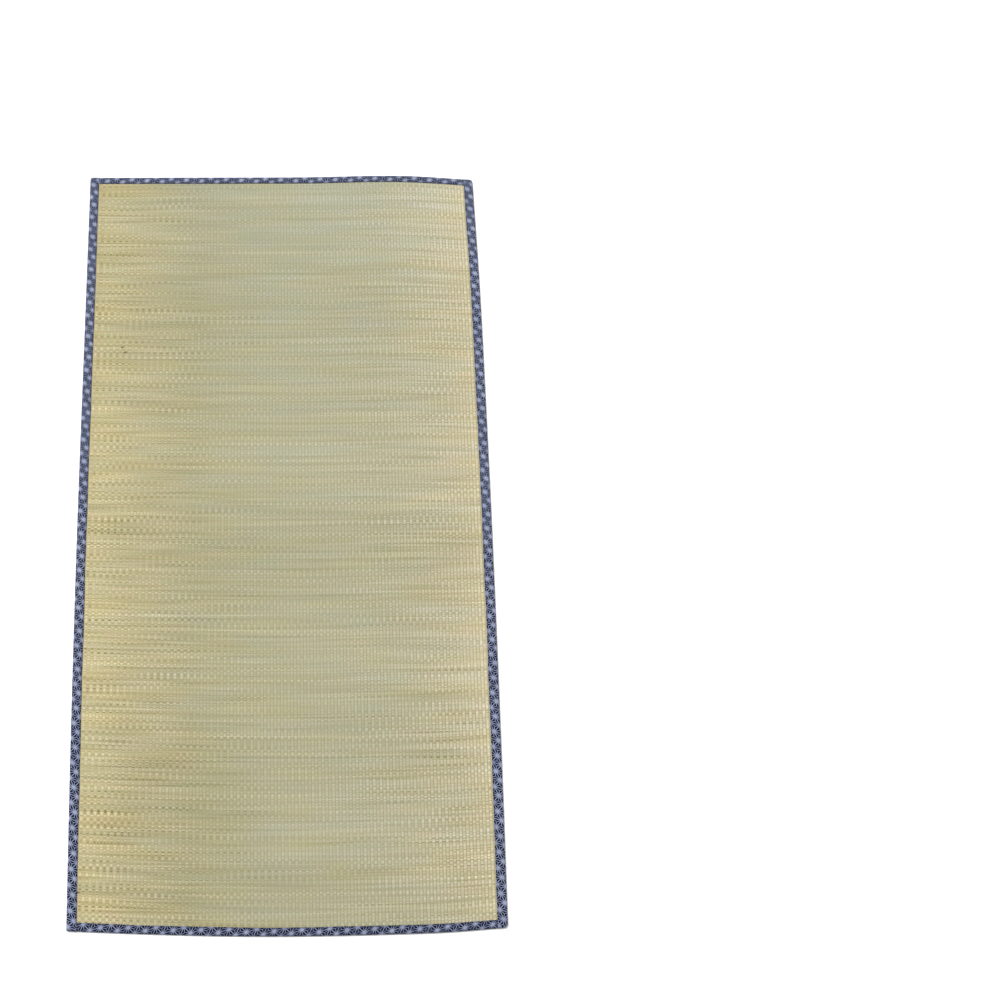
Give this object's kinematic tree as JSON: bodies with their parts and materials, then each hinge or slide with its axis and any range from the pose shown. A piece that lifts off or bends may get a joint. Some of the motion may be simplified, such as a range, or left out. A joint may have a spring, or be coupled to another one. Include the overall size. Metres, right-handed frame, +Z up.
{
  "type": "straw mat",
  "caption": "Flat rectangular straw mat of plain-woven soft rush, its four edges folded into a navy cotton binding printed with a hemp-leaf pattern.",
  "frame": {"origin": "middle of the mat's outline, on the surface that it lies on", "axes": "+X across the mat, +Y along it from the near end to the far end, +Z up out of the woven face"},
  "size_m": [0.9098, 1.9142, 0.0046],
  "materials": {
    "rush": "dry woven rush, matt with a faint sheen along the straws",
    "binding_tape": "matt printed cotton, navy with a thin pale lavender-blue hemp-leaf pattern"
  },
  "bodies": {
    "root": {"rush_panel": "rush", "binding_left": "binding_tape", "binding_right": "binding_tape", "binding_near": "binding_tape", "binding_far": "binding_tape"}
  },
  "joints": []
}
